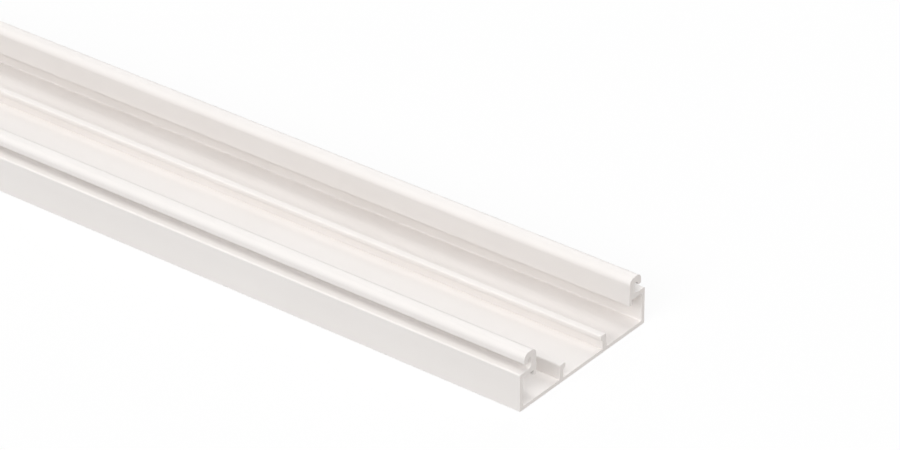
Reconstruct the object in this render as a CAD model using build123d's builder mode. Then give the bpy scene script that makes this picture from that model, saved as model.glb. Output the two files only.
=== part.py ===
# Base channel of a cord cover raceway: one length of rigid PVC, extruded as a single piece.
# X runs across the channel, Y along it and Z up from the flat back, which lies on the floor or wall.
import os

from build123d import *

# Stock and trough, millimetres
stock_length = 1524.0  # five feet
channel_width = 133.0  # over both side walls
wall_height = 27.5  # flat back to the top of the lips
floor_thickness = 2.7
wall_thickness = 3.0
lip_thickness = 3.2

# Latch hooks, which a clip-on cover grips
hook_setback = 4.4  # outer wall face to the outermost point of the hook
hook_width = 12.3  # across the crown
crown_thickness = 4.6  # above the notch
crown_flat = 3.0  # level stretch on top, between the crown's two rounds
mouth_gap = 5.3  # clear height between the lip and the hook's tip
arm_drop = 0.8  # tip of the hook's arm below the centre of the notch
arm_thickness = 3.2
arm_straight = 2.1  # outer face of the arm, between the rounds of the tip and the crown
arm_tip_flat = 1.4  # level stretch under the tip
post_thickness = 4.6
skirt_thickness = 2.4
skirt_depth = 3.9  # skirt below the underside of the lip

# Hooked floor ribs, a track for clip-in dividers
rib_setback = 41.9  # outer wall face to the outer face of the rib
rib_height = 10.6  # above the floor
rib_thickness = 3.6
rib_head_reach = 2.0  # overhang towards the middle of the channel
rib_head_depth = 3.2  # height of the head's nose
rib_undercut = 1.1  # rise of the slanted underside of the head

# Edge rounds
back_corner_radius = 0.5
lip_corner_radius = 1.1
inside_corner_radius = 1.0
arm_inner_radius = 0.5  # tip of the arm, towards the notch
post_foot_radius = 4.0  # cove between the lip and the post
skirt_edge_radius = 0.6
rib_edge_radius = 1.0

# Levels and faces that follow from these, on the +X half of the section
half_width = channel_width / 2
wall_inner_face = half_width - wall_thickness
lip_underside = wall_height - lip_thickness
lip_middle = wall_height - lip_thickness / 2
floor_middle = floor_thickness / 2

hook_outer_face = half_width - hook_setback
arm_inner_face = hook_outer_face - arm_thickness
post_inner_face = hook_outer_face - hook_width
post_outer_face = post_inner_face + post_thickness
skirt_outer_face = post_inner_face + skirt_thickness
skirt_middle = post_inner_face + skirt_thickness / 2
skirt_edge = lip_underside - skirt_depth
arm_tip = wall_height + mouth_gap
notch_level = arm_tip + arm_drop
notch_middle = (arm_inner_face + post_outer_face) / 2
notch_top = notch_level + (arm_inner_face - post_outer_face) / 2
crown_top = notch_top + crown_thickness
arm_outer_radius = arm_thickness - arm_tip_flat - arm_inner_radius
crown_outer_radius = crown_top - arm_tip - arm_outer_radius - arm_straight
crown_inner_radius = hook_width - crown_outer_radius - crown_flat

rib_outer_face = half_width - rib_setback
rib_inner_face = rib_outer_face - rib_thickness
rib_nose = rib_inner_face - rib_head_reach
rib_top = floor_thickness + rib_height
rib_nose_underside = rib_top - rib_head_depth
rib_neck = rib_nose_underside - rib_undercut

os.makedirs("parts", exist_ok=True)

with BuildPart() as raceway_base:
    with BuildSketch(Plane.XZ) as section:
        # Hook that turns outward from its post over the mouth, and the skirt below the post
        with BuildLine():
            FilletPolyline(
                (post_inner_face, skirt_edge),
                (post_inner_face, crown_top),
                (hook_outer_face, crown_top),
                (hook_outer_face, arm_tip),
                (arm_inner_face, arm_tip),
                (arm_inner_face, notch_level),
                radius=[crown_inner_radius, crown_outer_radius, arm_outer_radius, arm_inner_radius],
            )
            ThreePointArc(
                (arm_inner_face, notch_level),
                (notch_middle, notch_top),
                (post_outer_face, notch_level),
            )
            Polyline(
                (post_outer_face, notch_level),
                (post_outer_face, lip_middle),
                (skirt_outer_face, lip_middle),
                (skirt_outer_face, skirt_edge),
                (post_inner_face, skirt_edge),
            )
        make_face()
        fillet(section.vertices().group_by(Axis.Y)[0], skirt_edge_radius)

        # Floor rib with its head turned towards the middle of the channel
        with BuildLine():
            FilletPolyline(
                (rib_inner_face, floor_middle),
                (rib_inner_face, rib_neck),
                (rib_nose, rib_nose_underside),
                (rib_nose, rib_top),
                (rib_outer_face, rib_top),
                (rib_outer_face, floor_middle),
                radius=rib_edge_radius,
            )
            Line((rib_outer_face, floor_middle), (rib_inner_face, floor_middle))
        make_face()

        # Both sides of the channel are alike
        mirror(about=Plane.YZ)

        # Trough across the whole width: floor, side walls and lips
        with BuildLine():
            FilletPolyline(
                (skirt_middle, wall_height),
                (half_width, wall_height),
                (half_width, 0),
                (-half_width, 0),
                (-half_width, wall_height),
                (-skirt_middle, wall_height),
                radius=[lip_corner_radius, back_corner_radius, back_corner_radius, lip_corner_radius],
            )
            Line((-skirt_middle, wall_height), (-skirt_middle, lip_underside))
            FilletPolyline(
                (-skirt_middle, lip_underside),
                (-wall_inner_face, lip_underside),
                (-wall_inner_face, floor_thickness),
                (wall_inner_face, floor_thickness),
                (wall_inner_face, lip_underside),
                (skirt_middle, lip_underside),
                radius=inside_corner_radius,
            )
            Line((skirt_middle, lip_underside), (skirt_middle, wall_height))
        make_face()
        lip_corners = section.vertices().filter_by_position(Axis.Y, wall_height, wall_height)
        post_feet = lip_corners.sort_by(lambda corner: abs(corner.X))[:2]
        fillet(post_feet, post_foot_radius)
    extrude(amount=stock_length / 2, both=True)

raceway_base.part.label = "raceway_base"
export_step(raceway_base.part, "parts/raceway_base.step")
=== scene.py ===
import math

import bmesh
import bpy
from mathutils import Matrix, Vector


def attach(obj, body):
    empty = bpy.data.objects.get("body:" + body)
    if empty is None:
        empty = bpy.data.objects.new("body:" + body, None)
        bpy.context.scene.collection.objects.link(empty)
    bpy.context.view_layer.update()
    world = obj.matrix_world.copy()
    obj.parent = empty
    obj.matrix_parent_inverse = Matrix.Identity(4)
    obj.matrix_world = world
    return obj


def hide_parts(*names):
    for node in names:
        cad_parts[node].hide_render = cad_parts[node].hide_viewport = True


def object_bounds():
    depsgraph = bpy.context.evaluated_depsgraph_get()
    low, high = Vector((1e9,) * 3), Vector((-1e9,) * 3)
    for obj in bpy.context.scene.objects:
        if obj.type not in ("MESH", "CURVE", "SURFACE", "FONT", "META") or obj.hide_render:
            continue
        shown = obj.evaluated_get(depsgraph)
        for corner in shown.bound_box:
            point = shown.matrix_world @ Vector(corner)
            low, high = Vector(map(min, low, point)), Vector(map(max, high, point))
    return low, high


# cord cover raceway: one length of white extruded plastic, on a white studio floor

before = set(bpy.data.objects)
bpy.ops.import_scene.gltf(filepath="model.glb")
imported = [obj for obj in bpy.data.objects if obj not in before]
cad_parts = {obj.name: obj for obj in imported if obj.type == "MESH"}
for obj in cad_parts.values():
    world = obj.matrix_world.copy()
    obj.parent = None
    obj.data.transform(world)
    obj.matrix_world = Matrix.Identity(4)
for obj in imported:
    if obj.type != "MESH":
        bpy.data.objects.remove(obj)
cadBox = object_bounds()
print("frame loaded, box", [round(v, 4) for corner in cadBox for v in corner])


# shader helpers

noiseReach = dict(From_Min=0.3, From_Max=0.7)  # a noise texture seldom leaves this range
colourA, colourB, colourOut = 6, 7, 2  # sockets of a Mix node that mixes colours


def addNode(tree, kind, links=None, **values):
    node = tree.nodes.new(kind)
    for name, value in values.items():
        if hasattr(node, name):
            setattr(node, name, value)
        else:
            node.inputs[name.replace("_", " ")].default_value = value
    for name, source in (links or {}).items():
        tree.links.new(source, node.inputs[name])
    return node


def newGroup(name, inputs, outputs):
    group = bpy.data.node_groups.new(name, "ShaderNodeTree")
    for label, kind, value in inputs:
        socket = group.interface.new_socket(label, in_out="INPUT", socket_type=kind)
        if value is not None:
            socket.default_value = value
    for label, kind in outputs:
        group.interface.new_socket(label, in_out="OUTPUT", socket_type=kind)
    return group, group.nodes.new("NodeGroupInput"), group.nodes.new("NodeGroupOutput")


def placeGroup(tree, group, links, **values):
    node = tree.nodes.new("ShaderNodeGroup")
    node.node_tree = group
    for name, value in values.items():
        node.inputs[name].default_value = value
    for name, source in links.items():
        tree.links.new(source, node.inputs[name])
    return node


def mixColours(tree, factor):
    node = addNode(tree, "ShaderNodeMix", data_type="RGBA")
    tree.links.new(factor, node.inputs["Factor"])
    return node


def makeCloudTone():  # pigment never mixes quite evenly in the melt
    group, start, end = newGroup(
        "cloudTone",
        [("Vector", "NodeSocketVector", None), ("Light", "NodeSocketColor", (1, 1, 1, 1)),
         ("Dark", "NodeSocketColor", (0.9, 0.9, 0.9, 1)), ("Scale", "NodeSocketFloat", 20.0)],
        [("Color", "NodeSocketColor")])
    cloud = addNode(group, "ShaderNodeTexNoise", Detail=3.0, Roughness=0.55,
                    links={"Vector": start.outputs["Vector"], "Scale": start.outputs["Scale"]})
    spread = addNode(group, "ShaderNodeMapRange", links={"Value": cloud.outputs["Fac"]}, **noiseReach)
    tone = mixColours(group, spread.outputs["Result"])
    group.links.new(start.outputs["Light"], tone.inputs[colourA])
    group.links.new(start.outputs["Dark"], tone.inputs[colourB])
    group.links.new(tone.outputs[colourOut], end.inputs["Color"])
    return group


def makePebble():  # fine orange peel of cooled plastic
    group, start, end = newGroup(
        "pebble",
        [("Vector", "NodeSocketVector", None), ("Scale", "NodeSocketFloat", 900.0)],
        [("Height", "NodeSocketFloat")])
    grain = addNode(group, "ShaderNodeTexNoise", Detail=2.0, Roughness=0.5,
                    links={"Vector": start.outputs["Vector"], "Scale": start.outputs["Scale"]})
    group.links.new(grain.outputs["Fac"], end.inputs["Height"])
    return group


cloudTone = makeCloudTone()
pebble = makePebble()
print("shader groups ready")


# finish of the drawn faces: satin white with faint lines left by the die

skin = dict(
    light=(0.868, 0.835, 0.812, 1), dark=(0.850, 0.815, 0.790, 1),
    cloudScale=14.0, waveScale=16.0, pebbleScale=1100.0,  # patches per metre
    lineScale=1400.0, bandScale=168.0, lineStretch=0.004,  # die lines run the length of the stock
    lineDepth=0.000025, waveDepth=0.00012, pebbleDepth=0.000004,  # metres
    glossy=0.30, dull=0.42, refraction=1.53)


def makeSkin():
    material = bpy.data.materials.new("extrudedSkin")
    material.use_nodes = True
    tree = material.node_tree
    shader = tree.nodes["Principled BSDF"]
    shader.inputs["IOR"].default_value = skin["refraction"]
    place = addNode(tree, "ShaderNodeTexCoord").outputs["Object"]
    drawn = addNode(tree, "ShaderNodeMapping", Scale=(1, skin["lineStretch"], 1), links={"Vector": place})
    lines = addNode(tree, "ShaderNodeTexNoise", Scale=skin["lineScale"], Detail=4.0, Roughness=0.6,
                    links={"Vector": drawn.outputs["Vector"]})
    bands = addNode(tree, "ShaderNodeTexNoise", Scale=skin["bandScale"], Detail=2.0,
                    links={"Vector": drawn.outputs["Vector"]})
    waves = addNode(tree, "ShaderNodeTexNoise", Scale=skin["waveScale"], Detail=1.0,
                    links={"Vector": place})
    tone = placeGroup(tree, cloudTone, {"Vector": place}, Light=skin["light"], Dark=skin["dark"],
                      Scale=skin["cloudScale"])
    tree.links.new(tone.outputs["Color"], shader.inputs["Base Color"])
    gloss = addNode(tree, "ShaderNodeMapRange", To_Min=skin["glossy"], To_Max=skin["dull"],
                    links={"Value": bands.outputs["Fac"]}, **noiseReach)
    tree.links.new(gloss.outputs["Result"], shader.inputs["Roughness"])
    grain = placeGroup(tree, pebble, {"Vector": place}, Scale=skin["pebbleScale"])
    slow = addNode(tree, "ShaderNodeBump", Strength=1.0, Distance=skin["waveDepth"],
                   links={"Height": waves.outputs["Fac"]})
    fine = addNode(tree, "ShaderNodeBump", Strength=1.0, Distance=skin["lineDepth"],
                   links={"Height": lines.outputs["Fac"], "Normal": slow.outputs["Normal"]})
    peel = addNode(tree, "ShaderNodeBump", Strength=1.0, Distance=skin["pebbleDepth"],
                   links={"Height": grain.outputs["Height"], "Normal": fine.outputs["Normal"]})
    tree.links.new(peel.outputs["Normal"], shader.inputs["Normal"])
    return material


# finish of the cut ends: duller, with the arcs that a saw blade leaves

cut = dict(
    light=(0.895, 0.845, 0.810, 1), dark=(0.868, 0.815, 0.778, 1),
    cloudScale=60.0, pebbleScale=2400.0,  # patches per metre
    bladeCentre=(-0.04, 0.0, 0.11), markPitch=0.0009,  # metres
    markDepth=0.00003, pebbleDepth=0.00001,  # metres
    dull=0.50, dullest=0.66, refraction=1.53)

waveRadians = 20  # a wave texture of scale 1 counts this many radians in each unit of length


def makeCut():
    material = bpy.data.materials.new("sawnEnd")
    material.use_nodes = True
    tree = material.node_tree
    shader = tree.nodes["Principled BSDF"]
    shader.inputs["IOR"].default_value = cut["refraction"]
    place = addNode(tree, "ShaderNodeTexCoord").outputs["Object"]
    blade = addNode(tree, "ShaderNodeMapping", Location=-Vector(cut["bladeCentre"]),
                    links={"Vector": place})
    ringScale = math.tau / (waveRadians * cut["markPitch"])
    marks = addNode(tree, "ShaderNodeTexWave", wave_type="RINGS", rings_direction="Y", Scale=ringScale,
                    Distortion=1.4, Detail=2.0, Detail_Scale=0.4, links={"Vector": blade.outputs["Vector"]})
    tone = placeGroup(tree, cloudTone, {"Vector": place}, Light=cut["light"], Dark=cut["dark"],
                      Scale=cut["cloudScale"])
    tree.links.new(tone.outputs["Color"], shader.inputs["Base Color"])
    gloss = addNode(tree, "ShaderNodeMapRange", To_Min=cut["dull"], To_Max=cut["dullest"],
                    links={"Value": marks.outputs["Fac"]})
    tree.links.new(gloss.outputs["Result"], shader.inputs["Roughness"])
    grain = placeGroup(tree, pebble, {"Vector": place}, Scale=cut["pebbleScale"])
    kerf = addNode(tree, "ShaderNodeBump", Strength=1.0, Distance=cut["markDepth"],
                   links={"Height": marks.outputs["Fac"]})
    rough = addNode(tree, "ShaderNodeBump", Strength=1.0, Distance=cut["pebbleDepth"],
                    links={"Height": grain.outputs["Height"], "Normal": kerf.outputs["Normal"]})
    tree.links.new(rough.outputs["Normal"], shader.inputs["Normal"])
    return material


# the raceway itself: the drawn section with its cut rims eased

raceway = dict(
    node="raceway_base", slot="white_pvc",
    rimEase=0.0003, rimSteps=2,  # metres, rings of faces round each cut end
    weld=1e-6,  # metres, points closer than this are one
    flatAngle=0.2, smoothAngle=20.0,  # degrees
    endFacing=0.99,  # how nearly a cut end faces along the stock
    faceWeight=100)  # the largest face sets the shading at its edges


def isCutEnd(face):
    return abs(face.normal.y) > raceway["endFacing"]


def makeRaceway():
    bm = bmesh.new()
    bm.from_mesh(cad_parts[raceway["node"]].data)
    bmesh.ops.remove_doubles(bm, verts=bm.verts[:], dist=raceway["weld"])
    bmesh.ops.dissolve_limit(bm, angle_limit=math.radians(raceway["flatAngle"]),
                             verts=bm.verts[:], edges=bm.edges[:])
    bm.normal_update()
    rims = [edge for edge in bm.edges if any(isCutEnd(face) for face in edge.link_faces)]
    bmesh.ops.bevel(bm, geom=rims, offset=raceway["rimEase"], offset_type="OFFSET", affect="EDGES",
                    segments=raceway["rimSteps"], profile=0.5, material=-1, clamp_overlap=True)
    bmesh.ops.remove_doubles(bm, verts=bm.verts[:], dist=raceway["weld"])
    bm.normal_update()
    for face in bm.faces:
        face.smooth = True
        face.material_index = 1 if isCutEnd(face) else 0
    mesh = bpy.data.meshes.new("racewayExtrusion")
    bm.to_mesh(mesh)
    bm.free()
    if "custom_normal" in mesh.attributes:  # the copied normals are of the uneased shape
        mesh.attributes.remove(mesh.attributes["custom_normal"])
    mesh.set_sharp_from_angle(angle=math.radians(raceway["smoothAngle"]))
    mesh.materials.append(makeSkin())
    mesh.materials.append(makeCut())
    piece = bpy.data.objects.new("racewayExtrusion", mesh)
    bpy.context.collection.objects.link(piece)
    even = piece.modifiers.new("evenNormals", "WEIGHTED_NORMAL")
    even.keep_sharp = True
    even.weight = raceway["faceWeight"]
    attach(piece, "root")
    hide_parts(raceway["node"])
    return piece


piece = makeRaceway()
print("raceway ready,", len(piece.data.polygons), "faces")


# plain white stage

stage = dict(
    size=9.0, drop=0.0002,  # metres
    paperColour=(0.95, 0.95, 0.95, 1), bounceColour=(0.56, 0.56, 0.56, 1),  # as seen, as a reflector
    glow=0.85,  # share of the floor that shines white where it is seen
    ambient=0.2)  # room light from all round


def seenMask(tree):  # rays that show the background: the camera's own, mirrored and passed through
    path = addNode(tree, "ShaderNodeLightPath")
    mirrored = addNode(tree, "ShaderNodeMath", operation="MAXIMUM")
    tree.links.new(path.outputs["Is Camera Ray"], mirrored.inputs[0])
    tree.links.new(path.outputs["Is Glossy Ray"], mirrored.inputs[1])
    seen = addNode(tree, "ShaderNodeMath", operation="MAXIMUM")
    tree.links.new(mirrored.outputs[0], seen.inputs[0])
    tree.links.new(path.outputs["Is Transmission Ray"], seen.inputs[1])
    return seen.outputs[0]


def makeFloor():
    bm = bmesh.new()
    bmesh.ops.create_grid(bm, x_segments=1, y_segments=1, size=stage["size"] / 2)
    bmesh.ops.translate(bm, verts=bm.verts, vec=(0, 0, cadBox[0].z - stage["drop"]))
    mesh = bpy.data.meshes.new("studioFloor")
    bm.to_mesh(mesh)
    bm.free()
    floor = bpy.data.objects.new("studioFloor", mesh)
    bpy.context.collection.objects.link(floor)
    material = bpy.data.materials.new("whiteFloor")
    material.use_nodes = True
    tree = material.node_tree
    tree.nodes.remove(tree.nodes["Principled BSDF"])
    seen = seenMask(tree)
    tone = mixColours(tree, seen)
    tone.inputs[colourA].default_value = stage["bounceColour"]
    tone.inputs[colourB].default_value = stage["paperColour"]
    paper = addNode(tree, "ShaderNodeBsdfDiffuse", links={"Color": tone.outputs[colourOut]})
    glow = addNode(tree, "ShaderNodeEmission", Color=(1, 1, 1, 1), Strength=1.0)
    share = addNode(tree, "ShaderNodeMath", operation="MULTIPLY")
    share.inputs[1].default_value = stage["glow"]
    tree.links.new(seen, share.inputs[0])
    mix = addNode(tree, "ShaderNodeMixShader", links={"Fac": share.outputs[0]})
    tree.links.new(paper.outputs["BSDF"], mix.inputs[1])
    tree.links.new(glow.outputs["Emission"], mix.inputs[2])
    tree.links.new(mix.outputs["Shader"], tree.nodes["Material Output"].inputs["Surface"])
    mesh.materials.append(material)


def makeWorld():
    world = bpy.data.worlds.new("whiteRoom")
    world.use_nodes = True
    tree = world.node_tree
    sky = tree.nodes["Background"]
    sky.inputs["Color"].default_value = (1, 1, 1, 1)
    level = addNode(tree, "ShaderNodeMapRange", To_Min=stage["ambient"], To_Max=1.0,
                    links={"Value": seenMask(tree)})
    tree.links.new(level.outputs["Result"], sky.inputs["Strength"])
    bpy.context.scene.world = world


lamps = {  # azimuth 0 stands in front of the cut end; angles and softness in degrees
    "topLamp": dict(azimuth=0, elevation=90, strength=0.66, softness=20),
    "sideLamp": dict(azimuth=-90, elevation=31, strength=0.96, softness=30),
    "cameraLamp": dict(azimuth=-45, elevation=47, strength=1.47, softness=45),
    "frontLamp": dict(azimuth=0, elevation=27, strength=0.25, softness=40),
    "backLamp": dict(azimuth=118, elevation=37, strength=0.37, softness=30),
}


def makeLamps():
    for name, values in lamps.items():
        lamp = bpy.data.lights.new(name, "SUN")
        lamp.energy = values["strength"]
        lamp.angle = math.radians(values["softness"])
        holder = bpy.data.objects.new(name, lamp)
        turn, rise = math.radians(values["azimuth"]), math.radians(values["elevation"])
        holder.rotation_euler = (math.pi / 2 - rise, 0, turn)
        bpy.context.collection.objects.link(holder)


makeFloor()
makeWorld()
makeLamps()
print("stage and lamps ready")


# camera at the photograph's viewing angle

view = dict(
    azimuth=-51.74, elevation=31.07, roll=-0.29,  # degrees
    lens=175.95, sensor=36.0,  # millimetres
    imageWidth=900, imageHeight=450,  # pixels
    cornerPixel=(519.89, 412.14),  # where the near lower corner of the cut end shows
    cornerDepth=2.768, reach=50.0)  # metres


def makeCamera():
    turn, rise, roll = (math.radians(view[key]) for key in ("azimuth", "elevation", "roll"))
    back = Vector((math.sin(turn) * math.cos(rise), -math.cos(turn) * math.cos(rise), math.sin(rise)))
    level = Vector((math.cos(turn), math.sin(turn), 0))
    upright = back.cross(level)
    right = math.cos(roll) * level + math.sin(roll) * upright
    up = back.cross(right)
    focal = view["lens"] / view["sensor"] * view["imageWidth"]  # in pixels
    across = (view["cornerPixel"][0] - view["imageWidth"] / 2) / focal * view["cornerDepth"]
    above = (view["imageHeight"] / 2 - view["cornerPixel"][1]) / focal * view["cornerDepth"]
    eye = cadBox[0] - right * across - up * above + back * view["cornerDepth"]
    data = bpy.data.cameras.new("photoCamera")
    data.lens = view["lens"]
    data.sensor_width = view["sensor"]
    data.clip_end = view["reach"]
    camera = bpy.data.objects.new("photoCamera", data)
    camera.matrix_world = Matrix.Translation(eye) @ Matrix((right, up, back)).transposed().to_4x4()
    bpy.context.collection.objects.link(camera)
    bpy.context.scene.camera = camera


makeCamera()
bpy.context.scene.view_settings.view_transform = "Standard"
print("camera ready")
